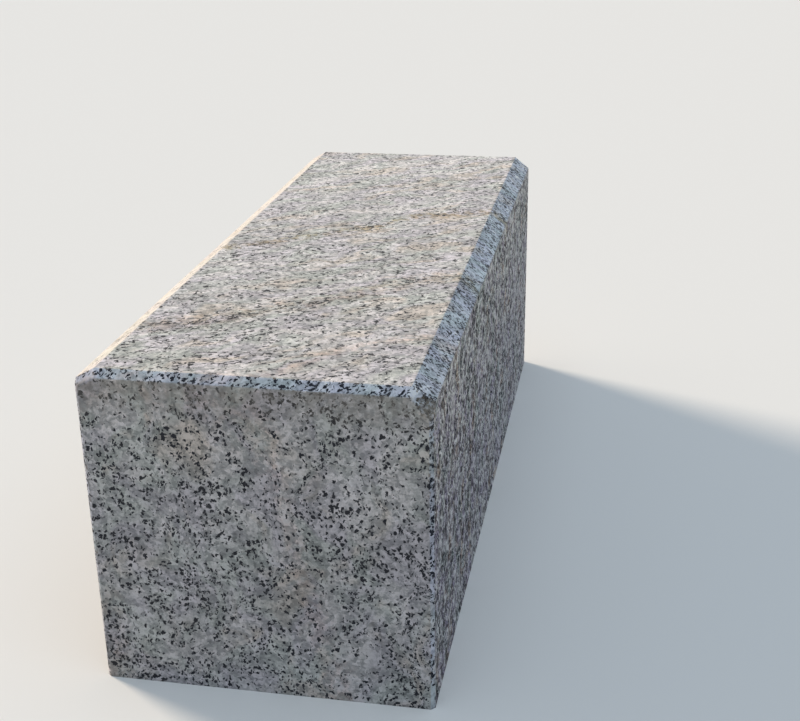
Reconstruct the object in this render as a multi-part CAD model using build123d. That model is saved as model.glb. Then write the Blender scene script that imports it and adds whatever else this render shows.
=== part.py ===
from build123d import *
import os

os.makedirs("parts", exist_ok=True)

# A straight granite kerb stone, sawn from one block, in millimetres.
# It stands on its bed, with its length along Y, the road on its -X side
# and the lower footway on its +X side. The origin is the middle of the bed.

# Overall block
kerb_length = 950.0            # end to end, along the row of kerbs
kerb_width = 350.0             # road face to footway face
kerb_height = 350.0            # bed to top, with the part that is set in the ground

# Long bevels of the top, each measured across the top and down the face
footway_bevel_across = 21.0
footway_bevel_down = 17.0
road_bevel_across = 20.0
road_bevel_down = 11.0

# Arrises taken off both ends
end_arris = 8.0                # along the end of the top and of both long bevels
upright_arris = 4.0            # down the four upright corners


def kerb_section():
    """The outline across the kerb, which has the two long bevels."""
    road_face = -kerb_width / 2
    footway_face = kerb_width / 2
    return Polyline(
        (road_face, 0),
        (footway_face, 0),
        (footway_face, kerb_height - footway_bevel_down),
        (footway_face - footway_bevel_across, kerb_height),
        (road_face + road_bevel_across, kerb_height),
        (road_face, kerb_height - road_bevel_down),
        close=True,
    )


def is_upright(edge):
    """True for an edge that runs straight up."""
    return abs(edge.tangent_at(0.5).Z) > 0.999


def end_edges(stone, end_axis):
    """The edges round one end of the stone, apart from the one on the bed."""
    end_face = stone.faces().sort_by(end_axis)[-1]
    return end_face.edges().filter_by(lambda edge: edge.center().Z > 0)


def kerb_stone():
    """The whole stone: the section drawn out to its length, then its end arrises."""
    stone = extrude(Plane.XZ * make_face(kerb_section()), kerb_length / 2, both=True)
    for end_axis in (Axis.Y, -Axis.Y):
        top_edges = end_edges(stone, end_axis).filter_by(is_upright, reverse=True)
        stone = chamfer(top_edges, end_arris)
    for end_axis in (Axis.Y, -Axis.Y):
        upright_edges = end_edges(stone, end_axis).filter_by(is_upright)
        stone = chamfer(upright_edges, upright_arris)
    return stone


stone = kerb_stone()
stone.label = "kerb_stone"
export_step(stone, "parts/kerb_stone.step")
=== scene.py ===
import math

import bmesh
import bpy
import numpy as np
from mathutils import Matrix, Vector
from mathutils.geometry import delaunay_2d_cdt


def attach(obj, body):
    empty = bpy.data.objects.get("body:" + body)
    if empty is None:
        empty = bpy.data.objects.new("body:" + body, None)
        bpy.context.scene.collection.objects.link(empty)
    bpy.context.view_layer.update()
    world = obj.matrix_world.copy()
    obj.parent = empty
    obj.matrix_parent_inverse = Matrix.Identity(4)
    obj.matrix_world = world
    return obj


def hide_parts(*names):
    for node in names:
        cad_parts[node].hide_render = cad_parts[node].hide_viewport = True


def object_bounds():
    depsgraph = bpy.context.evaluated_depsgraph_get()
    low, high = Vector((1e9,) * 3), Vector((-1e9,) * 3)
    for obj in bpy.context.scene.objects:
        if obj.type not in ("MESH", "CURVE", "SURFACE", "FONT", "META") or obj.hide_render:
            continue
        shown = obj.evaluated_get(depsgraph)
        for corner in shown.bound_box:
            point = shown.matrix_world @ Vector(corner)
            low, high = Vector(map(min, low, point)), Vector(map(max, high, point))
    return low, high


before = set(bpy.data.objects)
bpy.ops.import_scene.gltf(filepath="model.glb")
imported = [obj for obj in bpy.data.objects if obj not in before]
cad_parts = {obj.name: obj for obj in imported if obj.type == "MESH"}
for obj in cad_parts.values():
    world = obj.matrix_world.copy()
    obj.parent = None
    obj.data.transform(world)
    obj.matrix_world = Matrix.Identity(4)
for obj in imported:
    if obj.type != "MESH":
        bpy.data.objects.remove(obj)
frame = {"nodes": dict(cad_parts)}
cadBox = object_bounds()
scene = bpy.context.scene
print("frame loaded:", ", ".join(frame["nodes"]))


# Node helpers. Meshes are in metres, and textures are laid out in millimetres

perMetre = 1000.0
nodeStep = (200, 260)          # how far apart the nodes of a tree lie
nodesInRow = 12


def addNode(tree, kind, inputs=None, **settings):
    node = tree.nodes.new(kind)
    row, column = divmod(len(tree.nodes), nodesInRow)
    node.location = (nodeStep[0] * column, -nodeStep[1] * row)
    for name, value in settings.items():
        setattr(node, name, value)
    for socket, value in (inputs or {}).items():
        if isinstance(value, bpy.types.NodeSocket):
            tree.links.new(value, node.inputs[socket])
        else:
            node.inputs[socket].default_value = value
    return node


def calc(tree, operation, a, b=None, c=None):
    inputs = {n: value for n, value in enumerate((a, b, c)) if value is not None}
    return addNode(tree, "ShaderNodeMath", inputs, operation=operation).outputs[0]


def calcVector(tree, operation, a, b=None, scale=None):
    inputs = {n: value for n, value in enumerate((a, b)) if value is not None}
    if scale is not None:
        inputs["Scale"] = scale
    node = addNode(tree, "ShaderNodeVectorMath", inputs, operation=operation)
    return node.outputs["Value" if operation == "LENGTH" else "Vector"]


def inMillimetres(tree, place):
    return calcVector(tree, "SCALE", place, scale=perMetre)


def placeParts(tree, place):
    return addNode(tree, "ShaderNodeSeparateXYZ", {0: place}).outputs


def colorParts(tree, color):
    return addNode(tree, "ShaderNodeSeparateColor", {0: color}).outputs


def noise(tree, place, size, detail=2.0, roughness=0.5, distortion=0.0):
    return addNode(tree, "ShaderNodeTexNoise", {
        "Vector": place, "Scale": 1.0 / size, "Detail": detail,
        "Roughness": roughness, "Distortion": distortion,
    }).outputs


def cells(tree, place, scale):
    return addNode(tree, "ShaderNodeTexVoronoi", {"Vector": place, "Scale": scale}).outputs


def stray(tree, place, size, reach):
    # A warp of up to about a quarter of reach either way
    lumps = noise(tree, place, size)["Color"]
    return calcVector(tree, "SCALE", calcVector(tree, "SUBTRACT", lumps, (0.5, 0.5, 0.5)), scale=reach)


def smooth(tree, value, low, high, outLow=0.0, outHigh=1.0):
    return addNode(tree, "ShaderNodeMapRange", {
        "Value": value, "From Min": low, "From Max": high, "To Min": outLow, "To Max": outHigh,
    }, interpolation_type="SMOOTHSTEP").outputs["Result"]


def mixColor(tree, factor, a, b):
    return addNode(tree, "ShaderNodeMix", {0: factor, 6: a, 7: b}, data_type="RGBA").outputs[2]


def gamma(tree, color, power):
    return addNode(tree, "ShaderNodeGamma", {"Color": color, "Gamma": power}).outputs[0]


def ramp(tree, value, stops):
    node = addNode(tree, "ShaderNodeValToRGB", {"Fac": value})
    elements = node.color_ramp.elements
    elements[0].position, elements[0].color = stops[0][0], (*stops[0][1], 1)
    elements[1].position, elements[1].color = stops[-1][0], (*stops[-1][1], 1)
    for place, color in stops[1:-1]:
        elements.new(place).color = (*color, 1)
    return node.outputs["Color"]


def newGroup(name, inputs, outputs, kind="ShaderNodeTree"):
    tree = bpy.data.node_groups.new(name, kind)
    for socket, (socketType, value) in inputs.items():
        made = tree.interface.new_socket(socket, in_out="INPUT", socket_type=socketType)
        if value is not None:
            made.default_value = value
    for socket, socketType in outputs.items():
        tree.interface.new_socket(socket, in_out="OUTPUT", socket_type=socketType)
    return tree, tree.nodes.new("NodeGroupInput").outputs, tree.nodes.new("NodeGroupOutput").inputs


# Granite

granite = {                    # lengths are in millimetres
    "crystal": 4.3,            # feldspar and quartz
    "grain": 2.1,              # the small crystals between them
    "haze": 3.2,               # soft changes inside both
    "stroke": 5.6,             # pale and grey strokes along the grain
    "wisp": 3.5,               # the softer ones between them
    "smoke": 6.5,              # patches of smoky quartz
    "cluster": 12.0,           # how far apart the dark patches are
    "cloud": 46.0,             # soft changes of brightness
    "cloudDepth": 0.08,
    "tint": 27.0,              # soft changes of tint
    "bend": (5.0, 6.0),        # size and reach of the bends in a crystal's outline
    "grainTurn": 35.0,         # degrees from across the stone to the way its grain runs
    "grainDraw": (3.0, 1.0, 2.2),      # patches are drawn out along, across and down the grain
    "grainSway": 80.0,
    "swaySize": 70.0,
    "shares": {                # what each adds to the tone of a place
        "crystal": 0.20, "stroke": 0.24, "grain": 0.16, "haze": 0.16, "wisp": 0.40, "smoke": -0.20,
    },
    "evenTone": 0.57,          # the sum that stands for an even tone, which more mottle leaves as it is
    "minerals": (              # tone and colour, from quartz to pale feldspar
        (0.20, (0.34, 0.34, 0.335)),
        (0.42, (0.455, 0.45, 0.44)),
        (0.60, (0.56, 0.545, 0.53)),
        (0.80, (0.65, 0.63, 0.62)),
    ),
    "mica": (0.007, 0.009, 0.015, 1),
    "paleMica": (0.040, 0.042, 0.050, 1),
    "micaGloss": 0.08,         # how much less rough mica is than the crystals round it
    "fleckDraw": (1.7, 0.9, 1.6),
    "fleckSway": 25.0,
    "fleckEdge": 0.03,         # how soft a fleck's edge is, in cells
    "fleckRagged": (0.5, 0.7),         # size and reach of its ragged outline, in cells
    "flecks": (                # cell size, reach in it, share of cells outside and in a cluster
        (3.8, 0.40, 0.04, 0.38),
        (2.2, 0.47, 0.05, 0.26),
    ),
    "thread": 8.0,             # thin threads of mica that wind between the crystals
    "threadWidth": 0.06,
    "threadPatch": 6.5,
    "evenShare": 0.4,          # what stands for the dark patches where a finish shows none
    "paleClears": 0.10,        # how much the pale patches keep the flecks out
    "pivot": 0.46,             # the tone that more contrast leaves as it is
    "paler": 0.13,             # painted light: how much paler the stone is painted in a metre of its length, towards its far end
    "thinning": 0.10,          # how much the dark patches shrink in a metre of its length
    "palest": (0.84, 0.83, 0.82),      # no crystal is paler than this in any finish
    "mintTint": (0.96, 0.993, 0.98, 1),
    "lilacTint": (1.01, 0.984, 1.05, 1),
    "warmTint": (1.06, 0.99, 0.94, 1),
    "paleTint": (1.14, 1.12, 1.14, 1),
}
comesIn = {                    # the stretch of a noise or a draw over which each comes in
    "stroke": (0.36, 0.64),
    "smoke": (0.52, 0.66),
    "cloud": (0.30, 0.70),
    "lilac": (0.38, 0.62),
    "warm": (0.52, 0.68),
    "pale": (0.50, 0.66),
    "cluster": (0.42, 0.58),
    "dash": (0.58, 0.61),
    "paleFleck": (0.80, 1.0),
}


def alongGrain(tree, place, draw, sway):
    wavy = calcVector(tree, "ADD", place, stray(tree, place, granite["swaySize"], sway))
    return addNode(tree, "ShaderNodeMapping", {
        "Vector": wavy, "Rotation": (0, 0, math.radians(granite["grainTurn"])), "Scale": draw,
    }, vector_type="TEXTURE").outputs[0]


def crystalColor(tree, place, bent, drawn, mottle):
    # Each crystal has one tone, and pale and grey ones keep together in strokes along the grain
    crystals = cells(tree, bent, 1.0 / granite["crystal"])
    grains = cells(tree, bent, 1.0 / granite["grain"])
    heart = alongGrain(tree, crystals["Position"], granite["grainDraw"], granite["grainSway"])
    strokes = noise(tree, heart, granite["stroke"], 2.0, 0.55)["Fac"]
    smoky = noise(tree, bent, granite["smoke"])["Fac"]
    parts = {
        "crystal": colorParts(tree, crystals["Color"])[0],
        "grain": colorParts(tree, grains["Color"])[0],
        "haze": noise(tree, place, granite["haze"], 3.0, 0.6)["Fac"],
        "stroke": smooth(tree, strokes, *comesIn["stroke"]),
        "wisp": noise(tree, drawn, granite["wisp"], 2.0, 0.5, 0.6)["Fac"],
        "smoke": smooth(tree, smoky, *comesIn["smoke"]),
    }
    tone = -granite["evenTone"]
    for name, part in parts.items():
        tone = calc(tree, "MULTIPLY_ADD", part, granite["shares"][name], tone)
    return ramp(tree, calc(tree, "MULTIPLY_ADD", tone, mottle, 0.5), granite["minerals"])


def tintPatches(tree, drawn):
    shares = colorParts(tree, noise(tree, drawn, granite["tint"], 2.0, 0.55)["Color"])
    lilac = smooth(tree, shares[0], *comesIn["lilac"])
    warm = smooth(tree, shares[1], *comesIn["warm"])
    pale = smooth(tree, shares[2], *comesIn["pale"])
    tint = mixColor(tree, lilac, granite["mintTint"], granite["lilacTint"])
    tint = mixColor(tree, warm, tint, granite["warmTint"])
    return mixColor(tree, pale, tint, granite["paleTint"]), pale


def brightness(tree, place, along):
    cloud = noise(tree, place, granite["cloud"], 3.0, 0.55)["Fac"]
    depth = granite["cloudDepth"]
    bright = smooth(tree, cloud, *comesIn["cloud"], 1 - depth, 1 + depth)
    # Painted light: the stone grows paler towards its far end, standing in for the brighter glancing light
    # there
    return calc(tree, "MULTIPLY_ADD", along, granite["paler"], bright)


def fleckCrowding(tree, drawn, along, pale, patchy):
    # The dark flecks gather in patches, and keep out of the pale ones
    grouped = noise(tree, drawn, granite["cluster"])["Fac"]
    grouped = calc(tree, "MULTIPLY_ADD", along, -granite["thinning"], grouped)
    grouped = calc(tree, "MULTIPLY_ADD", pale, -granite["paleClears"], grouped)
    crowded = smooth(tree, grouped, *comesIn["cluster"])
    uneven = calc(tree, "SUBTRACT", crowded, granite["evenShare"])
    return calc(tree, "MULTIPLY_ADD", uneven, patchy, granite["evenShare"])


def addFlecks(tree, source, color, place, longer, crowded):
    dark, edge = 0.0, granite["fleckEdge"]
    raggedSize, raggedReach = granite["fleckRagged"]
    for size, reach, rare, common in granite["flecks"]:
        outline = stray(tree, place, size * raggedSize, size * raggedReach)
        flecks = cells(tree, calcVector(tree, "ADD", longer, outline), 1.0 / size)
        draws = colorParts(tree, flecks["Color"])
        shareHere = calc(tree, "MULTIPLY_ADD", crowded, common - rare, rare)
        allowed = calc(tree, "MULTIPLY", shareHere, source["Mica"])
        chosen = smooth(tree, calc(tree, "SUBTRACT", allowed, draws[1]), 0.0, 0.01)
        distance = calc(tree, "DIVIDE", flecks["Distance"], source["Fleck Size"])
        made = calc(tree, "MULTIPLY", chosen, smooth(tree, distance, reach + edge, reach - edge))
        paler = smooth(tree, draws[2], *comesIn["paleFleck"])
        color = mixColor(tree, made, color, mixColor(tree, paler, granite["mica"], granite["paleMica"]))
        dark = calc(tree, "MAXIMUM", made, dark)
    return color, dark


def addThreads(tree, source, color, dark, bent, longer):
    # Threads follow the level lines of a noise, and a second noise breaks them into dashes
    width = granite["threadWidth"]
    winding = noise(tree, longer, granite["thread"], 1.0)["Fac"]
    level = calc(tree, "ABSOLUTE", calc(tree, "SUBTRACT", winding, 0.5))
    dashes = smooth(tree, noise(tree, bent, granite["threadPatch"], 1.0)["Fac"], *comesIn["dash"])
    thread = calc(tree, "MULTIPLY", smooth(tree, level, width, width / 2), dashes)
    thread = calc(tree, "MULTIPLY", thread, source["Threads"])
    return mixColor(tree, thread, color, granite["mica"]), calc(tree, "MAXIMUM", thread, dark)


def makeGraniteGroup():
    amounts = ("Mica", "Mottle", "Contrast", "Fleck Size", "Threads", "Patchy", "Tint")
    tree, source, out = newGroup(
        "graniteBody",
        {"Vector": ("NodeSocketVector", None), **{name: ("NodeSocketFloat", 1.0) for name in amounts}},
        {"Color": "NodeSocketColor", "Mica": "NodeSocketFloat"},
    )
    place = inMillimetres(tree, source["Vector"])
    along = placeParts(tree, source["Vector"])["Y"]
    bent = calcVector(tree, "ADD", place, stray(tree, place, *granite["bend"]))
    drawn = alongGrain(tree, place, granite["grainDraw"], granite["grainSway"])
    longer = alongGrain(tree, bent, granite["fleckDraw"], granite["fleckSway"])

    crystal = crystalColor(tree, place, bent, drawn, source["Mottle"])
    tint, pale = tintPatches(tree, drawn)
    tint = gamma(tree, tint, source["Tint"])
    shade = calcVector(tree, "SCALE", tint, scale=brightness(tree, place, along))
    ground = gamma(tree, calcVector(tree, "MULTIPLY", crystal, shade), source["Contrast"])
    lift = calc(tree, "POWER", granite["pivot"], calc(tree, "SUBTRACT", 1.0, source["Contrast"]))
    color = calcVector(tree, "SCALE", ground, scale=lift)

    crowded = fleckCrowding(tree, drawn, along, pale, source["Patchy"])
    color, dark = addFlecks(tree, source, color, place, longer, crowded)
    color, dark = addThreads(tree, source, color, dark, bent, longer)
    tree.links.new(color, out["Color"])
    tree.links.new(dark, out["Mica"])
    return tree


# Veins: sheets that cross the stone from side to side. Points are x, y on the top, in millimetres

veinPaths = {
    "middle": ((-175, -78), (-130, -55), (-90, -25), (-50, 0), (-10, 35), (22, 50), (32, 80), (60, 105),
               (105, 120), (145, 140), (175, 150)),
    "near": ((-175, -372), (-145, -355), (-100, -335), (-60, -310), (-30, -275), (5, -265), (40, -225),
             (60, -210), (105, -165), (154, -147), (175, -138)),
    "corner": ((-175, -475), (-40, -474), (15, -455), (45, -420), (60, -400), (95, -370), (125, -345),
               (154, -330), (175, -322)),
    "far": ((-175, 210), (-60, 235), (20, 270), (75, 305), (110, 322), (145, 335), (175, 342)),
}
# shift is along the stone, fadeIn is the x where a vein reaches its full strength, and lean is how far
# it strays along the stone for each millimetre down
veins = (
    {"path": "middle", "shift": 0.0, "fadeIn": None, "width": 15.0, "lean": 0.35,
     "tint": (0.72, 0.63, 0.46), "strength": 1.0, "mica": 0.6},
    {"path": "middle", "shift": -10.0, "fadeIn": 60.0, "width": 10.0, "lean": 0.35,
     "tint": (1.08, 1.02, 0.96), "strength": 0.7, "mica": -0.45},
    {"path": "near", "shift": 0.0, "fadeIn": None, "width": 24.0, "lean": 0.24,
     "tint": (0.80, 0.72, 0.66), "strength": 0.8, "mica": 1.3},
    {"path": "near", "shift": 18.0, "fadeIn": None, "width": 14.0, "lean": 0.24,
     "tint": (1.10, 1.03, 0.96), "strength": 0.8, "mica": -0.6},
    {"path": "near", "shift": 4.0, "fadeIn": 165.0, "width": 12.0, "lean": 0.24,
     "tint": (0.66, 0.66, 0.50), "strength": 0.9, "mica": 0.0},
    {"path": "corner", "shift": 0.0, "fadeIn": None, "width": 16.0, "lean": 0.2,
     "tint": (1.11, 1.00, 0.96), "strength": 0.9, "mica": -0.7},
    {"path": "far", "shift": 0.0, "fadeIn": None, "width": 9.0, "lean": 0.3,
     "tint": (0.84, 0.75, 0.68), "strength": 0.6, "mica": 0.45},
)
veining = {
    "fade": 45.0,              # how far a vein takes to fade in
    "sharpest": 0.1,           # the share of its width over which it is at its full strength
    "slope": 0.75,             # a vein lies aslant, so its width along the stone is larger than its own
    "wander": (26.0, 20.0),    # size and reach of its bends
    "jag": (6.0, 22.0),        # and of its ragged edge
    "gaps": 11.0,              # size of the gaps in its tint
    "gapSpan": (0.38, 0.60),
    "gapTint": 0.05,           # what is left of the tint in a gap
}


def veinLine(tree, acrossShare, vein, size):
    # How far along the stone a vein's path is, at each place across it
    width, length = size[:2]
    curve = addNode(tree, "ShaderNodeFloatCurve", {"Value": acrossShare})
    path = [(x, y + vein["shift"]) for x, y in veinPaths[vein["path"]]]
    spots = [(x / width + 0.5, y / length + 0.5) for x, y in path]
    points = curve.mapping.curves[0].points
    points[0].location, points[1].location = spots[0], spots[-1]
    for spot in spots[1:-1]:
        points.new(*spot)
    curve.mapping.update()
    return calc(tree, "MULTIPLY_ADD", curve.outputs[0], length, -length / 2)


def veinWobble(tree, place):
    wobble = 0.0
    for name in ("wander", "jag"):
        size, reach = veining[name]
        bends = noise(tree, place, size)["Fac"]
        wobble = calc(tree, "ADD", calc(tree, "MULTIPLY_ADD", bends, reach, -reach / 2), wobble)
    return wobble


def makeVeinGroup(size):
    tree, source, out = newGroup(
        "graniteVeins", {"Vector": ("NodeSocketVector", None)},
        {"Tint": "NodeSocketColor", "Crowding": "NodeSocketFloat"},
    )
    place = inMillimetres(tree, source["Vector"])
    x, y, z = placeParts(tree, place)[:]
    acrossShare = calc(tree, "MULTIPLY_ADD", x, 1 / size[0], 0.5)
    depth = calc(tree, "SUBTRACT", size[2], z)
    wobble = veinWobble(tree, place)
    gaps = noise(tree, place, veining["gaps"], 3.0, 0.6)["Fac"]
    whole = smooth(tree, gaps, *veining["gapSpan"], veining["gapTint"], 1.0)
    tint, crowding = (1.0, 1.0, 1.0), 0.0
    for vein in veins:
        off = calc(tree, "SUBTRACT", y, veinLine(tree, acrossShare, vein, size))
        off = calc(tree, "MULTIPLY_ADD", off, veining["slope"], wobble)
        off = calc(tree, "MULTIPLY_ADD", depth, vein["lean"], off)
        edge = vein["width"]
        off = calc(tree, "ABSOLUTE", off)
        mask = smooth(tree, off, edge, edge * veining["sharpest"], 0.0, vein["strength"])
        if vein["fadeIn"] is not None:
            begun = smooth(tree, x, vein["fadeIn"] - veining["fade"], vein["fadeIn"])
            mask = calc(tree, "MULTIPLY", mask, begun)
        share = calc(tree, "MULTIPLY", mask, whole)
        tint = calcVector(tree, "MULTIPLY", mixColor(tree, share, (1, 1, 1, 1), (*vein["tint"], 1)), tint)
        crowding = calc(tree, "MULTIPLY_ADD", mask, vein["mica"], crowding)
    tree.links.new(tint, out["Tint"])
    tree.links.new(crowding, out["Crowding"])
    return tree


# Marks of the tools, and the bump

pickMark = {
    "size": 12.0,              # from one mark to the next, in millimetres
    "floor": 0.10,             # how far its floor and its rim reach, in marks
    "rim": 0.72,
}
bumpShape = {
    "lumpRoughness": 0.55,
    "gritRoughness": 0.6,
    "sawDraw": (0.012, 0.40, 0.40),    # a saw's lines run across the stone
    "hollowShares": (0.65, 0.35),      # what lumps and grit add to a place's height among the hollows
    "hollowMark": 0.14,                # how much higher the ridges between pick marks are there
    "hollowSpan": (0.50, 0.34),
}


def pickMarks(tree, place, scale):
    # 1 in the middle of a mark, 0 on the ridges
    fromMiddle = cells(tree, place, scale)["Distance"]
    return smooth(tree, fromMiddle, pickMark["floor"], pickMark["rim"], 1.0, 0.0)


def makeBumpGroup():
    tree, source, out = newGroup(
        "stoneRelief",
        {"Vector": ("NodeSocketVector", None), "Lump Size": ("NodeSocketFloat", 8.0),
         "Lump Height": ("NodeSocketFloat", 1.0), "Grit Size": ("NodeSocketFloat", 1.5),
         "Grit Height": ("NodeSocketFloat", 0.2), "Pick Depth": ("NodeSocketFloat", 0.0),
         "Saw Depth": ("NodeSocketFloat", 0.0)},
        {"Height": "NodeSocketFloat", "Hollow": "NodeSocketFloat"},
    )
    place = inMillimetres(tree, source["Vector"])

    def rough(name, roughness):
        return addNode(tree, "ShaderNodeTexNoise", {
            "Vector": place, "Scale": calc(tree, "DIVIDE", 1.0, source[name]),
            "Detail": 2.0, "Roughness": roughness,
        }).outputs["Fac"]

    lump = rough("Lump Size", bumpShape["lumpRoughness"])
    grit = rough("Grit Size", bumpShape["gritRoughness"])
    marks = pickMarks(tree, place, 1.0 / pickMark["size"])
    sawLines = noise(tree, calcVector(tree, "MULTIPLY", place, bumpShape["sawDraw"]), 1.0, 2.0, 0.6)["Fac"]
    height = calc(tree, "MULTIPLY", grit, source["Grit Height"])
    height = calc(tree, "MULTIPLY_ADD", lump, source["Lump Height"], height)
    height = calc(tree, "MULTIPLY_ADD", sawLines, source["Saw Depth"], height)
    picked = calc(tree, "MULTIPLY", marks, source["Pick Depth"])
    tree.links.new(calc(tree, "SUBTRACT", height, picked), out["Height"])

    # The Hollow mask, with which the material paints shade into the hollows
    lumpShare, gritShare = bumpShape["hollowShares"]
    level = calc(tree, "MULTIPLY_ADD", lump, lumpShare, calc(tree, "MULTIPLY", grit, gritShare))
    anyPick = calc(tree, "MINIMUM", source["Pick Depth"], 1.0)
    sunk = calc(tree, "MULTIPLY", marks, -bumpShape["hollowMark"])
    level = calc(tree, "MULTIPLY_ADD", anyPick, sunk, level)
    tree.links.new(smooth(tree, level, *bumpShape["hollowSpan"]), out["Hollow"])
    return tree


# Dirt, and painted shade towards the bottom

dirtAndShade = {                       # lengths are in millimetres, and depths are below the top
    "patch": 7.0,              # size of the patches that it comes in
    "grimeDepth": (10.0, 230.0),       # where the painted shade starts, and where it is darkest
    "unshadedTint": (1.06, 1.055, 1.01, 1),
    "footShadeTint": (0.79, 0.80, 0.83, 1),
    "knockReach": (2.2, 0.6),  # how far from an arris its knocks start, and where they are darkest
    "knockSpan": (0.60, 0.68),
    "knockColor": (0.17, 0.135, 0.105, 1),
    "endReach": (5.0, 0.5),    # how near the end of the stone soil starts, and where it is whole
    "lipDepth": (6.8, 8.8),    # where it starts, under the end arris
    "lipFoot": (55.0, 10.0),   # where it ends, and where it is still whole
    "soilSpan": (0.30, 0.62),
    "soilShare": (0.15, 0.65),
    "soilAndShadeColor": (0.25, 0.23, 0.205, 1),
    "settledDepth": (3.0, 13.0),       # where soil starts in the broken corner, and where it is whole
    "settledLeast": 0.25,
    "clot": 2.6,
    "clotSpan": (0.38, 0.60),
    "clotShare": (0.30, 0.95),
    "clotColor": (0.19, 0.168, 0.14, 1),
}


def makeDirtAndShadeGroup(size):
    tree, source, out = newGroup(
        "stoneDirtAndShade",
        {"Vector": ("NodeSocketVector", None), "Color": ("NodeSocketColor", None),
         "Soil": ("NodeSocketFloat", 1.0), "Foot Shade": ("NodeSocketFloat", 0.0)},
        {"Color": "NodeSocketColor"},
    )
    place = inMillimetres(tree, source["Vector"])
    parts = placeParts(tree, place)
    depth = calc(tree, "SUBTRACT", size[2], parts["Z"])
    fromEnd = calc(tree, "SUBTRACT", size[1] / 2, calc(tree, "ABSOLUTE", parts["Y"]))
    arris = addNode(tree, "ShaderNodeAttribute", attribute_name="arris").outputs["Fac"]
    broken = addNode(tree, "ShaderNodeAttribute", attribute_name="broken").outputs["Fac"]
    patchy = noise(tree, place, dirtAndShade["patch"], 2.0, 0.6)["Fac"]

    # Painted shade: the faces darken and cool towards the bottom
    low = calc(tree, "MULTIPLY", smooth(tree, depth, *dirtAndShade["grimeDepth"]), source["Foot Shade"])
    grime = mixColor(tree, low, dirtAndShade["unshadedTint"], dirtAndShade["footShadeTint"])
    color = calcVector(tree, "MULTIPLY", source["Color"], grime)
    # Small knocks along the arrises
    nearby = smooth(tree, arris, *dirtAndShade["knockReach"])
    knock = calc(tree, "MULTIPLY", nearby, smooth(tree, patchy, *dirtAndShade["knockSpan"]))
    color = mixColor(tree, calc(tree, "MULTIPLY", knock, source["Soil"]), color, dirtAndShade["knockColor"])
    # Soil under the end arrises, darkened enough to paint the shade of the joint as well
    under = smooth(tree, depth, *dirtAndShade["lipDepth"])
    lip = calc(tree, "MULTIPLY", smooth(tree, depth, *dirtAndShade["lipFoot"]), under)
    lip = calc(tree, "MULTIPLY", smooth(tree, fromEnd, *dirtAndShade["endReach"]), lip)
    soil = smooth(tree, patchy, *dirtAndShade["soilSpan"], *dirtAndShade["soilShare"])
    color = mixColor(tree, calc(tree, "MULTIPLY", lip, soil), color, dirtAndShade["soilAndShadeColor"])
    # Soil lies in clots in the lower half of the broken corner
    deep = smooth(tree, depth, *dirtAndShade["settledDepth"], dirtAndShade["settledLeast"], 1.0)
    clots = noise(tree, place, dirtAndShade["clot"], 2.0, 0.6)["Fac"]
    clots = smooth(tree, clots, *dirtAndShade["clotSpan"], *dirtAndShade["clotShare"])
    settled = calc(tree, "MULTIPLY", calc(tree, "MULTIPLY", broken, deep), clots)
    tree.links.new(mixColor(tree, settled, color, dirtAndShade["clotColor"]), out["Color"])
    return tree


stoneSize = [(high - low) * perMetre for low, high in zip(*cadBox)]
graniteBody = makeGraniteGroup()
graniteVeins = makeVeinGroup(stoneSize)
stoneRelief = makeBumpGroup()
stoneDirtAndShade = makeDirtAndShadeGroup(stoneSize)


def stoneMaterial(name, look):
    material = bpy.data.materials.new(name)
    material.use_nodes = True
    tree = material.node_tree
    tree.nodes.clear()
    place = addNode(tree, "ShaderNodeTexCoord").outputs["Object"]
    vein = addNode(tree, "ShaderNodeGroup", {"Vector": place}, node_tree=graniteVeins).outputs
    body = addNode(tree, "ShaderNodeGroup", {
        "Vector": place, "Mica": calc(tree, "ADD", vein["Crowding"], look["mica"]),
        "Mottle": look["mottle"], "Contrast": look["contrast"], "Tint": look["tint"],
        "Fleck Size": look["fleck"], "Threads": look["threads"], "Patchy": look["patchy"],
    }, node_tree=graniteBody).outputs
    relief = addNode(tree, "ShaderNodeGroup", {
        "Vector": place, "Lump Size": look["lumps"][0], "Lump Height": look["lumps"][1],
        "Grit Size": look["grit"][0], "Grit Height": look["grit"][1],
        "Pick Depth": look["pick"], "Saw Depth": look["saw"],
    }, node_tree=stoneRelief).outputs
    toned = calcVector(tree, "MULTIPLY", body["Color"], look["tone"])
    veined = mixColor(tree, look["veins"], (1, 1, 1, 1), vein["Tint"])
    toned = calcVector(tree, "MULTIPLY", toned, veined)
    toned = calcVector(tree, "MINIMUM", toned, granite["palest"])
    # Painted shade: the hollows of the relief are darkened in the colour, most of all on the picked face
    shaded = calcVector(tree, "MULTIPLY", toned, look["hollowShadeTint"])
    hollowShadeShare = calc(tree, "MULTIPLY", relief["Hollow"], look["hollow"])
    dirtyAndShaded = addNode(tree, "ShaderNodeGroup", {
        "Vector": place, "Color": mixColor(tree, hollowShadeShare, toned, shaded),
        "Soil": look["soil"], "Foot Shade": look["grime"],
    }, node_tree=stoneDirtAndShade).outputs["Color"]
    normal = addNode(tree, "ShaderNodeBump", {
        "Strength": 1.0, "Distance": 1 / perMetre, "Height": relief["Height"],
    }).outputs["Normal"]
    glossier = look["roughness"] - granite["micaGloss"]
    roughness = smooth(tree, body["Mica"], 0.0, 1.0, look["roughness"], glossier)
    shader = addNode(tree, "ShaderNodeBsdfPrincipled", {
        "Base Color": dirtyAndShaded, "Roughness": roughness, "Specular IOR Level": look["gloss"],
        "Sheen Weight": look["dust"], "Sheen Roughness": 0.5, "Normal": normal,
    })
    addNode(tree, "ShaderNodeOutputMaterial", {"Surface": shader.outputs[0]})
    return material
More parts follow.
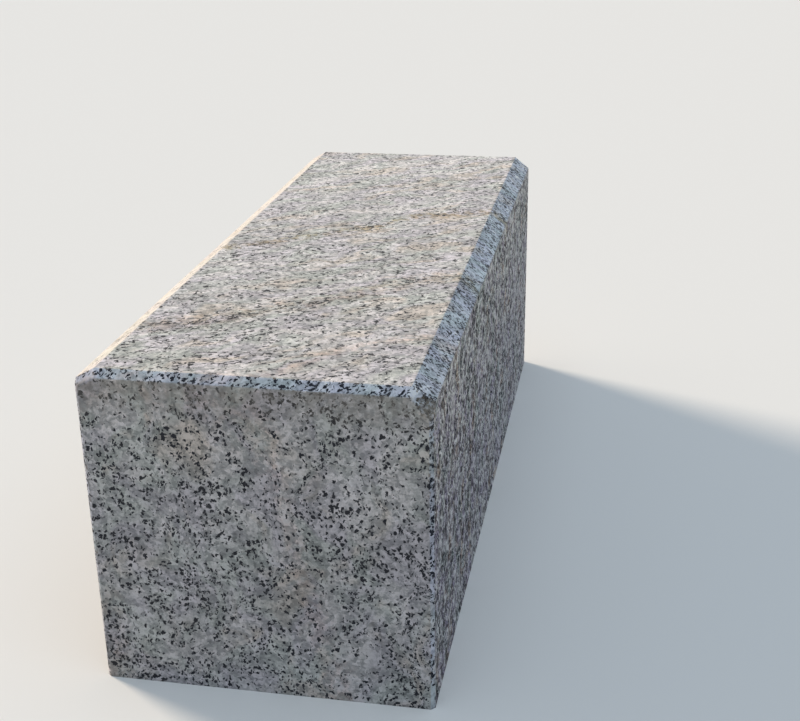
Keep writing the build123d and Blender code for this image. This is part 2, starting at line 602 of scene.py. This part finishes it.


# A look holds the stone's tone and grain, the flecks and veins, the bump, the painted shade in its
# hollows, and the shader's own numbers with the dirt and the painted shade towards the bottom. Lumps and
# grit are (size, height) in millimetres
finishes = {
    "flamed": stoneMaterial("flamedGranite", {
        "tone": (0.957, 0.973, 1.020), "mottle": 1.5, "contrast": 1.3, "tint": 1.0,
        "mica": 0.60, "fleck": 1.1, "threads": 1.0, "patchy": 1.0, "veins": 1.0,
        "lumps": (6.0, 0.40), "grit": (1.4, 0.36), "pick": 0.0, "saw": 0.0,
        "hollow": 0.25, "hollowShadeTint": (0.74, 0.73, 0.71),
        "roughness": 0.82, "gloss": 0.16, "dust": 0.10, "soil": 0.7, "grime": 0.0,
    }),
    "rubbed": stoneMaterial("rubbedAndCoolShadedGranite", {
        # Painted shade: the strong blue in this tone stands in for the cool skylight on the shaded bevels
        "tone": (1.045, 1.14, 1.315), "mottle": 1.15, "contrast": 1.15, "tint": 1.1,
        "mica": 2.0, "fleck": 1.1, "threads": 0.9, "patchy": 0.55, "veins": 1.0,
        "lumps": (7.0, 0.15), "grit": (1.2, 0.08), "pick": 0.0, "saw": 0.0,
        "hollow": 0.0, "hollowShadeTint": (1.0, 1.0, 1.0),
        "roughness": 0.70, "gloss": 0.2, "dust": 0.0, "soil": 0.8, "grime": 0.0,
    }),
    "worn": stoneMaterial("wornAndSunlitGranite", {
        # Painted light: the paler, warmer tone and calmer grain of the road bevel stand in for the
        # sunlight on it
        "tone": (1.24, 1.18, 1.14), "mottle": 0.7, "contrast": 0.8, "tint": 1.0,
        "mica": 0.45, "fleck": 0.9, "threads": 0.3, "patchy": 0.6, "veins": 0.3,
        "lumps": (7.0, 0.15), "grit": (1.2, 0.08), "pick": 0.0, "saw": 0.0,
        "hollow": 0.0, "hollowShadeTint": (1.0, 1.0, 1.0),
        "roughness": 0.60, "gloss": 0.3, "dust": 0.0, "soil": 0.4, "grime": 0.0,
    }),
    "picked": stoneMaterial("pickedGranite", {
        # Painted shade: the extra blue in this tone stands in for the cool light on the shaded footway
        # face
        "tone": (1.52, 1.505, 1.59), "mottle": 2.4, "contrast": 1.9, "tint": 1.65,
        "mica": 1.7, "fleck": 1.0, "threads": 0.8, "patchy": 0.9, "veins": 0.4,
        "lumps": (9.0, 2.4), "grit": (3.0, 1.7), "pick": 2.2, "saw": 0.0,
        "hollow": 0.95, "hollowShadeTint": (0.22, 0.21, 0.215),
        "roughness": 0.80, "gloss": 0.25, "dust": 0.0, "soil": 0.5, "grime": 1.0,
    }),
    "hammered": stoneMaterial("hammeredGranite", {
        "tone": (0.95, 0.95, 0.96), "mottle": 1.5, "contrast": 1.1, "tint": 1.0,
        "mica": 1.6, "fleck": 1.0, "threads": 0.5, "patchy": 0.8, "veins": 0.6,
        "lumps": (9.0, 1.2), "grit": (3.0, 0.7), "pick": 1.2, "saw": 0.0,
        "hollow": 0.5, "hollowShadeTint": (0.62, 0.61, 0.60),
        "roughness": 0.80, "gloss": 0.25, "dust": 0.0, "soil": 0.5, "grime": 0.7,
    }),
    "sawn": stoneMaterial("sawnGranite", {
        # Painted shade: the extra blue in this tone stands in for the cool light on the shaded end faces
        "tone": (1.06, 1.07, 1.10), "mottle": 1.7, "contrast": 1.15, "tint": 1.0,
        "mica": 1.4, "fleck": 1.0, "threads": 0.3, "patchy": 0.9, "veins": 0.8,
        "lumps": (9.0, 0.2), "grit": (1.2, 0.12), "pick": 0.0, "saw": 0.5,
        "hollow": 0.15, "hollowShadeTint": (0.85, 0.85, 0.85),
        "roughness": 0.66, "gloss": 0.3, "dust": 0.0, "soil": 0.6, "grime": 0.4,
    }),
}
print("materials made:", len(finishes))


# The kerb stone

kerbStone = {
    # The grid and the broken corner, in metres
    "finest": 0.0007,          # step beside an arris
    "topStep": 0.0035,         # step across the top
    "alongStep": 0.0039,
    "faceStep": 0.0054,        # step down the faces
    "growth": 1.36,            # how fast the steps grow away from an arris
    "bedStep": 0.025,
    "blend": 0.0009,           # how softly one face turns into the next
    "chipPlace": (0.1757, -0.4765, 0.3400),    # just outside both faces
    "chipSize": 0.0171,
    "chipRange": (0.72, 1.25),         # how uneven the ball is that it is scooped with
    "chipLumps": 150.0,        # lumps in a metre
    "chipSpan": (0.25, 0.75),
    "chipEdge": 0.15,          # the share of the ball that a point has moved by when it counts as broken
    # The marks of the tools and the wear, in millimetres
    "broadSize": 70.0,         # sizes of the unevenness
    "scaleSize": 13.0,         # of the scales that the flame lifts off
    "fineSize": 7.5,
    "evenSpan": (0.3, 0.7),    # the stretch of its noise over which each rises from floor to top
    "scaleSpan": (0.36, 0.62),
    "flameDepth": 0.7,
    "pickDepth": 2.6,
    "hammerDepth": 1.3,
    "rubDepth": 0.25,
    "sawDepth": 0.3,
    "flameShares": {"broad": 0.2, "fine": 0.3, "scale": 0.5},
    "pickShares": {"broad": 0.15, "fine": 0.2, "mark": 0.65},
    "calm": 7.0,               # the marks of a finish fade over this, towards an arris
    "calmest": 0.12,           # what is left of them at the arris, which stays straight
    "wearDepth": 0.7,
    "wearReach": 3.0,
    "wearSize": 9.0,
    "wearSpan": (0.64, 0.78),
    "wearEvenly": 0.25,        # the share of the wear that rounds the whole arris
    "bedEase": 6.0,            # marks and wear come in over this, upwards from the bed
    "seed": 4.0,
}
cadNode = frame["nodes"]["kerb_stone"]


def cadPlanes(node):
    # The triangles of one face share a plane, so each plane is kept once
    rows = {}
    for face in node.data.polygons:
        reach = face.normal.dot(face.center)
        same = (*(round(x, 3) for x in face.normal), round(reach, 4))
        rows[same] = (*face.normal, reach)
    rows = np.array(list(rows.values()))
    return rows[:, :3], rows[:, 3]


def stoneBreaks(node):
    # The places, along each side of the box, at which the stone's faces meet
    cad = np.array([v.co for v in node.data.vertices])
    low, high = cad.min(0), cad.max(0)
    tiny = 1e-5
    onTop = cad[cad[:, 2] > high[2] - tiny]
    onEnd = cad[cad[:, 1] > high[1] - tiny]
    roadTop = cad[cad[:, 0] < low[0] + tiny][:, 2].max()
    footwayTop = cad[cad[:, 0] > high[0] - tiny][:, 2].max()
    upright = high[0] - onEnd[onEnd[:, 2] < low[2] + tiny][:, 0].max()
    topLow, topHigh = onTop.min(0), onTop.max(0)
    across, along = (
        [low[n], low[n] + upright, topLow[n], topHigh[n], high[n] - upright, high[n]] for n in (0, 1)
    )
    return across, along, [low[2], footwayTop, roadTop, onEnd[:, 2].max(), high[2]]


def gradedLine(breaks, finest, coarsest, growth):
    places = [breaks[0]]
    for start, end in zip(breaks, breaks[1:]):
        half, step, steps = (end - start) / 2, finest, []
        while sum(steps) + step < half:
            steps.append(step)
            step = min(step * growth, coarsest)
        if not steps:
            steps = [half]
        scale = half / sum(steps)
        edge = np.cumsum([s * scale for s in steps])
        places += [start + e for e in edge] + [end - e for e in edge[-2::-1]] + [end]
    return np.array(places)


def boxShell(across, along, up):
    # A box without its bed, and the loop of points round the bed
    nx, ny, nz = len(across) - 1, len(along) - 1, len(up) - 1
    index, places, faces = {}, [], []

    def corner(i, j, k):
        if (i, j, k) not in index:
            index[i, j, k] = len(places)
            places.append((across[i], along[j], up[k]))
        return index[i, j, k]

    def addFace(*corners):
        faces.append(tuple(corner(*spot) for spot in corners))

    for i in range(nx):
        for j in range(ny):
            addFace((i, j, nz), (i + 1, j, nz), (i + 1, j + 1, nz), (i, j + 1, nz))
    for j in range(ny):
        for k in range(nz):
            addFace((nx, j, k), (nx, j + 1, k), (nx, j + 1, k + 1), (nx, j, k + 1))
            addFace((0, j + 1, k), (0, j, k), (0, j, k + 1), (0, j + 1, k + 1))
    for i in range(nx):
        for k in range(nz):
            addFace((i, 0, k), (i + 1, 0, k), (i + 1, 0, k + 1), (i, 0, k + 1))
            addFace((i + 1, ny, k), (i, ny, k), (i, ny, k + 1), (i + 1, ny, k + 1))
    rim = [corner(i, 0, 0) for i in range(nx)] + [corner(nx, j, 0) for j in range(ny)]
    rim += [corner(i, ny, 0) for i in range(nx, 0, -1)] + [corner(0, j, 0) for j in range(ny, 0, -1)]
    return np.array(places), faces, rim


def ontoStone(box, breaks, normals, offsets):
    # Each point of the box slides towards the core until it lies on the stone's own planes
    across, along, up = breaks
    core = np.clip(box, (across[2], along[2], up[0]), (across[3], along[3], up[1]))
    ray = box - core
    facing = ray @ normals.T
    room = offsets - core @ normals.T
    reach = np.full(facing.shape, np.inf)
    np.divide(room, facing, out=reach, where=facing > 1e-9)
    return core + ray * reach.min(1)[:, None]


def bedOf(points, rim, breaks, step):
    # The flat bed inside the rim: its own points, and faces that also use the rim's
    across, along, up = breaks
    inner = [Vector((x, y)) for x in np.arange(across[0] + step, across[-1] - step / 2, step)
             for y in np.arange(along[0] + step, along[-1] - step / 2, step)]
    flat = [Vector(points[r][:2]) for r in rim]
    loop = [(n, (n + 1) % len(flat)) for n in range(len(flat))]
    bedPoints, _, bedFaces, origins, _, _ = delaunay_2d_cdt(flat + inner, loop, [], 1, 1e-7)
    ids, extra = [], []
    for point, origin in zip(bedPoints, origins):
        if origin and origin[0] < len(rim):
            ids.append(rim[origin[0]])
        else:
            ids.append(len(points) + len(extra))
            extra.append((point[0], point[1], up[0]))
    return extra, [tuple(ids[n] for n in reversed(face)) for face in bedFaces]


def stoneGrid(node, sizes, normals, offsets):
    breaks = stoneBreaks(node)
    steps = [sizes[name] for name in ("topStep", "alongStep", "faceStep")]
    lines = [gradedLine(side, sizes["finest"], step, sizes["growth"]) for side, step in zip(breaks, steps)]
    box, faces, rim = boxShell(*lines)
    points = ontoStone(box, breaks, normals, offsets)
    extra, bedFaces = bedOf(points, rim, breaks, sizes["bedStep"])
    return np.vstack([points, extra]), faces + bedFaces


def finishOf(normal):
    straight, slanting, endwise = 0.99, 0.3, 0.5
    if normal[2] > straight:
        return "flamed"
    if normal[0] > straight:
        return "picked"
    if normal[0] < -straight:
        return "hammered"
    if abs(normal[1]) > straight or normal[2] < -straight:
        return "sawn"
    # Painted light and shade: the road bevel takes the paler, warmer worn finish and the other bevels the
    # bluer rubbed one, as lit and shaded copies of one bevel finish
    if normal[0] < -slanting and normal[2] > slanting and abs(normal[1]) < endwise:
        return "worn"
    return "rubbed"


def storeValues(mesh, name, values, kind="FLOAT", domain="POINT"):
    field = "vector" if kind == "FLOAT_VECTOR" else "value"
    mesh.attributes.new(name, kind, domain).data.foreach_set(field, values)


def makeBlock(node, sizes):
    normals, offsets = cadPlanes(node)
    points, faces = stoneGrid(node, sizes, normals, offsets)
    mesh = bpy.data.meshes.new("kerbStone")
    mesh.from_pydata([tuple(p) for p in points], [], faces)
    mesh.update()
    # Near an arris, each point belongs a little to the face beyond it
    behind = offsets - points @ normals.T
    weight = np.exp(-behind / sizes["blend"])
    weight /= weight.sum(1)[:, None]
    outward = weight @ normals
    outward /= np.linalg.norm(outward, axis=1)[:, None]
    storeValues(mesh, "outward", outward.ravel(), "FLOAT_VECTOR")
    kinds = np.array([finishOf(n) for n in normals])
    for kind in finishes:
        storeValues(mesh, kind, weight[:, kinds == kind].sum(1))
    # How far each point is from the nearest arris
    leastTurn = 0.05
    nearest = normals[behind.argmin(1)]
    turn = np.sqrt(np.clip(1 - (nearest @ normals.T) ** 2, 0, 1))
    arris = np.where(turn > leastTurn, behind / np.maximum(turn, leastTurn), np.inf).min(1)
    storeValues(mesh, "arris", arris * perMetre)
    order = list(finishes)
    finish = [order.index(finishOf(face.normal)) for face in mesh.polygons]
    storeValues(mesh, "finish", finish, "INT", "FACE")
    mesh.shade_smooth()
    block = bpy.data.objects.new("kerbStone", mesh)
    scene.collection.objects.link(block)
    return block


def makeDressingTree(sizes):
    tree, source, out = newGroup(
        "dressStone",
        {"Geometry": ("NodeSocketGeometry", None),
         "Flame Depth": ("NodeSocketFloat", 1.0), "Pick Depth": ("NodeSocketFloat", 1.0),
         "Pick Size": ("NodeSocketFloat", 12.0), "Hammer Depth": ("NodeSocketFloat", 1.0),
         "Rub Depth": ("NodeSocketFloat", 0.3), "Saw Depth": ("NodeSocketFloat", 0.3),
         "Wear Depth": ("NodeSocketFloat", 1.0), "Wear Reach": ("NodeSocketFloat", 4.0),
         "Chip Place": ("NodeSocketVector", None), "Chip Size": ("NodeSocketFloat", 0.01),
         "Seed": ("NodeSocketFloat", 0.0)},
        {"Geometry": "NodeSocketGeometry"}, "GeometryNodeTree",
    )
    place = inMillimetres(tree, addNode(tree, "GeometryNodeInputPosition").outputs[0])

    def named(name, kind="FLOAT"):
        attribute = addNode(tree, "GeometryNodeInputNamedAttribute", {"Name": name}, data_type=kind)
        return attribute.outputs["Attribute"]

    def lumps(spot, scale, detail, roughness=0.5):
        return addNode(tree, "ShaderNodeTexNoise", {
            "Vector": spot, "W": source["Seed"], "Scale": scale, "Detail": detail, "Roughness": roughness,
        }, noise_dimensions="4D").outputs["Fac"]

    def mixed(parts, shares):
        total = 0.0
        for name, share in shares.items():
            total = calc(tree, "MULTIPLY_ADD", parts[name], share, total)
        return total

    parts = {
        "broad": smooth(tree, lumps(place, 1 / sizes["broadSize"], 1.0), *sizes["evenSpan"]),
        "scale": smooth(tree, lumps(place, 1 / sizes["scaleSize"], 2.0), *sizes["scaleSpan"]),
        "fine": smooth(tree, lumps(place, 1 / sizes["fineSize"], 1.0), *sizes["evenSpan"]),
        "mark": pickMarks(tree, place, calc(tree, "DIVIDE", 1.0, source["Pick Size"])),
    }
    flame = mixed(parts, sizes["flameShares"])
    pick = mixed(parts, sizes["pickShares"])
    dressing = {
        "flamed": (flame, "Flame Depth"),
        "picked": (pick, "Pick Depth"),
        "hammered": (pick, "Hammer Depth"),
        "rubbed": (parts["broad"], "Rub Depth"),
        "worn": (parts["broad"], "Rub Depth"),
        "sawn": (parts["broad"], "Saw Depth"),
    }
    arris = named("arris")
    away = smooth(tree, arris, 0.0, sizes["calm"], sizes["calmest"], 1.0)
    depth = 0.0
    for kind, (shape, amount) in dressing.items():
        share = calc(tree, "MULTIPLY", named(kind), away)
        depth = calc(tree, "MULTIPLY_ADD", calc(tree, "MULTIPLY", shape, source[amount]), share, depth)

    close = smooth(tree, calc(tree, "DIVIDE", arris, source["Wear Reach"]), 1.0, 0.0)
    knocks = smooth(tree, lumps(place, 1 / sizes["wearSize"], 3.0, 0.6), *sizes["wearSpan"])
    rounding = calc(tree, "MULTIPLY", calc(tree, "POWER", close, 3.0), sizes["wearEvenly"])
    worn = calc(tree, "ADD", calc(tree, "MULTIPLY", close, knocks), rounding)
    depth = calc(tree, "MULTIPLY_ADD", worn, source["Wear Depth"], depth)
    # The bed stays flat, so that the stone stands on it
    lifted = smooth(tree, placeParts(tree, place)["Z"], 0.0, sizes["bedEase"])
    depth = calc(tree, "MULTIPLY", depth, lifted)
    metresIn = calc(tree, "MULTIPLY", depth, -1 / perMetre)
    dressed = addNode(tree, "GeometryNodeSetPosition", {
        "Geometry": source["Geometry"],
        "Offset": calcVector(tree, "SCALE", named("outward", "FLOAT_VECTOR"), scale=metresIn),
    }).outputs[0]

    # The broken corner: points inside a rough ball move out of it, into the stone
    spot = addNode(tree, "GeometryNodeInputPosition").outputs[0]
    outOfBall = calcVector(tree, "SUBTRACT", spot, source["Chip Place"])
    uneven = lumps(spot, sizes["chipLumps"], 3.0)
    uneven = smooth(tree, uneven, *sizes["chipSpan"], *sizes["chipRange"])
    ball = calc(tree, "MULTIPLY", source["Chip Size"], uneven)
    push = calc(tree, "SUBTRACT", ball, calcVector(tree, "LENGTH", outOfBall))
    push = calc(tree, "MAXIMUM", push, 0.0)
    hollow = smooth(tree, calc(tree, "DIVIDE", push, source["Chip Size"]), 0.0, sizes["chipEdge"])
    marked = addNode(tree, "GeometryNodeStoreNamedAttribute", {
        "Geometry": dressed, "Name": "broken", "Value": hollow,
    }, data_type="FLOAT", domain="POINT").outputs[0]
    shape = addNode(tree, "GeometryNodeSetPosition", {
        "Geometry": marked,
        "Offset": calcVector(tree, "SCALE", calcVector(tree, "NORMALIZE", outOfBall), scale=push),
    }).outputs[0]

    shape = addNode(tree, "GeometryNodeRealizeInstances", {"Geometry": shape}).outputs[0]
    for order, kind in enumerate(finishes):
        chosen = addNode(tree, "FunctionNodeCompare", {"A": named("finish", "INT"), "B": order},
                         data_type="INT", operation="EQUAL").outputs[0]
        shape = addNode(tree, "GeometryNodeSetMaterial", {
            "Geometry": shape, "Selection": chosen, "Material": finishes[kind],
        }).outputs[0]
    tree.links.new(shape, out["Geometry"])
    return tree


def applyTree(item, tree, values):
    modifier = item.modifiers.new("dress", "NODES")
    modifier.node_group = tree
    for socket in tree.interface.items_tree:
        if socket.in_out == "INPUT" and socket.name in values:
            modifier[socket.identifier] = values[socket.name]
    item.update_tag()
    evaluated = item.evaluated_get(bpy.context.evaluated_depsgraph_get())
    made = bpy.data.meshes.new_from_object(evaluated)
    item.modifiers.remove(modifier)
    item.data = made
    made.name = item.name
    # What only the tree needed goes
    for name in ("outward", "finish", *finishes):
        made.attributes.remove(made.attributes[name])


stone = makeBlock(cadNode, kerbStone)
print("block made:", len(stone.data.vertices), "points,", len(stone.data.polygons), "faces")
applyTree(stone, makeDressingTree(kerbStone), {
    "Flame Depth": kerbStone["flameDepth"],
    "Pick Depth": kerbStone["pickDepth"],
    "Pick Size": pickMark["size"],
    "Hammer Depth": kerbStone["hammerDepth"],
    "Rub Depth": kerbStone["rubDepth"],
    "Saw Depth": kerbStone["sawDepth"],
    "Wear Depth": kerbStone["wearDepth"],
    "Wear Reach": kerbStone["wearReach"],
    "Chip Place": kerbStone["chipPlace"],
    "Chip Size": kerbStone["chipSize"],
    "Seed": kerbStone["seed"],
})
check = bmesh.new()
check.from_mesh(stone.data)
triangles = sum(len(face.verts) - 2 for face in check.faces)
openEdges = sum(not edge.is_manifold for edge in check.edges)
volume = check.calc_volume(signed=True)
print("stone dressed:", triangles, "triangles,", openEdges, "open edges,", volume, "cubic metres")
check.free()
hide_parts("kerb_stone")
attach(stone, "root")


# Studio

studio = {
    "floorSize": 40.0,
    "floorRoughness": 0.9,
    "floorTone": (0.80, 0.80, 0.795, 1),
    "floorBounce": (0.40, 0.40, 0.40, 1),
    "sky": (0.312, 0.340, 0.374, 1),
    "backdrop": (0.86, 0.865, 0.87, 1),
    "lampDistance": 4.0,
}
lamps = (                      # azimuths are in degrees round from +X, by way of the far end
    {"name": "key", "color": (1.0, 0.84, 0.66), "strength": 3.75,
     "elevation": 24.0, "azimuth": 152.0, "softness": 16.0},
    {"name": "fill", "color": (0.73, 0.88, 1.0), "strength": 0.9,
     "elevation": 69.0, "azimuth": -45.0, "softness": 70.0},
)


def seenItself(tree):
    # 1 for what the camera sees directly or in gloss, 0 for the light that reaches the stone
    rays = addNode(tree, "ShaderNodeLightPath").outputs
    mirrored = calc(tree, "MAXIMUM", rays["Is Glossy Ray"], rays["Is Transmission Ray"])
    return calc(tree, "MAXIMUM", rays["Is Camera Ray"], mirrored)


def makeFloor():
    bpy.ops.mesh.primitive_plane_add(size=studio["floorSize"])
    floor = bpy.context.object
    floor.name = "floor"
    material = bpy.data.materials.new("paleFloor")
    material.use_nodes = True
    tree = material.node_tree
    shader = tree.nodes["Principled BSDF"]
    shader.inputs["Roughness"].default_value = studio["floorRoughness"]
    shader.inputs["Specular IOR Level"].default_value = 0.0
    tone = mixColor(tree, seenItself(tree), studio["floorBounce"], studio["floorTone"])
    tree.links.new(tone, shader.inputs["Base Color"])
    floor.data.materials.append(material)


def makeBackdrop():
    world = bpy.data.worlds.new("studio")
    scene.world = world
    world.use_nodes = True
    tree = world.node_tree
    tree.nodes.clear()
    sky = addNode(tree, "ShaderNodeBackground", {"Color": studio["sky"]}).outputs[0]
    backdrop = addNode(tree, "ShaderNodeBackground", {"Color": studio["backdrop"]}).outputs[0]
    both = addNode(tree, "ShaderNodeMixShader", {0: seenItself(tree), 1: sky, 2: backdrop})
    addNode(tree, "ShaderNodeOutputWorld", {"Surface": both.outputs[0]})


def addLamp(look):
    light = bpy.data.lights.new(look["name"], "SUN")
    light.energy = look["strength"]
    light.color = look["color"]
    light.angle = math.radians(look["softness"])
    lamp = bpy.data.objects.new(look["name"], light)
    scene.collection.objects.link(lamp)
    up, turn = math.radians(look["elevation"]), math.radians(look["azimuth"])
    towards = Vector((math.cos(up) * math.cos(turn), math.cos(up) * math.sin(turn), math.sin(up)))
    lamp.location = towards * studio["lampDistance"]
    lamp.rotation_mode = "QUATERNION"
    lamp.rotation_quaternion = towards.to_track_quat("Z", "Y")


makeFloor()
makeBackdrop()
for look in lamps:
    addLamp(look)

view = {
    "place": (0.3465, -1.5186, 0.8065),
    "turn": 10.94,             # degrees to the left of the stone's length
    "dip": 21.95,              # degrees below level
    "roll": 0.9,
    "lens": 57.24,
    "sensor": 36.0,
}
cameraData = bpy.data.cameras.new("camera")
cameraData.lens = view["lens"]
cameraData.sensor_width = view["sensor"]
camera = bpy.data.objects.new("camera", cameraData)
scene.collection.objects.link(camera)
camera.matrix_world = (
    Matrix.Translation(view["place"])
    @ Matrix.Rotation(math.radians(view["turn"]), 4, "Z")
    @ Matrix.Rotation(math.radians(-view["dip"]), 4, "X")
    @ Matrix.Rotation(math.radians(view["roll"]), 4, "Y")
    @ Matrix.Rotation(math.radians(90), 4, "X")
)
scene.camera = camera
scene.view_settings.view_transform = "Standard"
print("studio and camera made")
